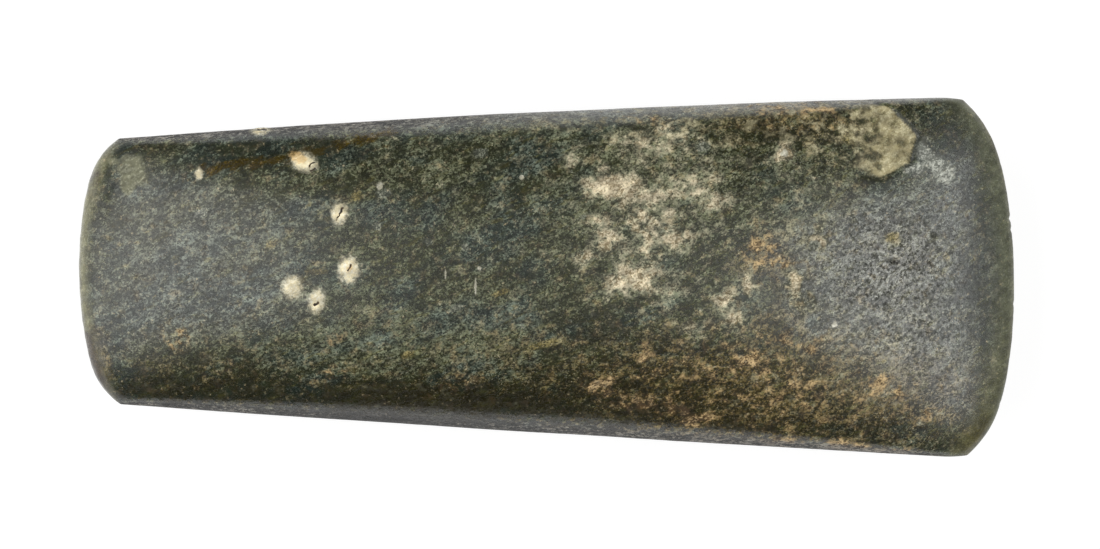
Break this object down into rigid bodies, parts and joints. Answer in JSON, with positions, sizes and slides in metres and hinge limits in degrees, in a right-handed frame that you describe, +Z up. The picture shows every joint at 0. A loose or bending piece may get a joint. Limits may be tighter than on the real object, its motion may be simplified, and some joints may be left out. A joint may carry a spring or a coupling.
{
  "type": "polished stone axe head",
  "caption": "Polished stone axe head: a solid wedge of dark green stone with crowned faces, narrow ground sides, a rounded butt and a convex cutting edge.",
  "frame": {"origin": "on the surface the axe lies on, under the middle of its outline", "axes": "+X from the butt to the cutting edge, +Y towards the left side seen from above, +Z up through the broad face"},
  "size_m": [0.12, 0.0462, 0.024],
  "materials": {
    "greenstone": "ground and polished dark green stone, worn satin, with pale weathering, iron stains and spots of lime crust"
  },
  "bodies": {
    "root": {"axe_head": "greenstone"}
  },
  "joints": []
}
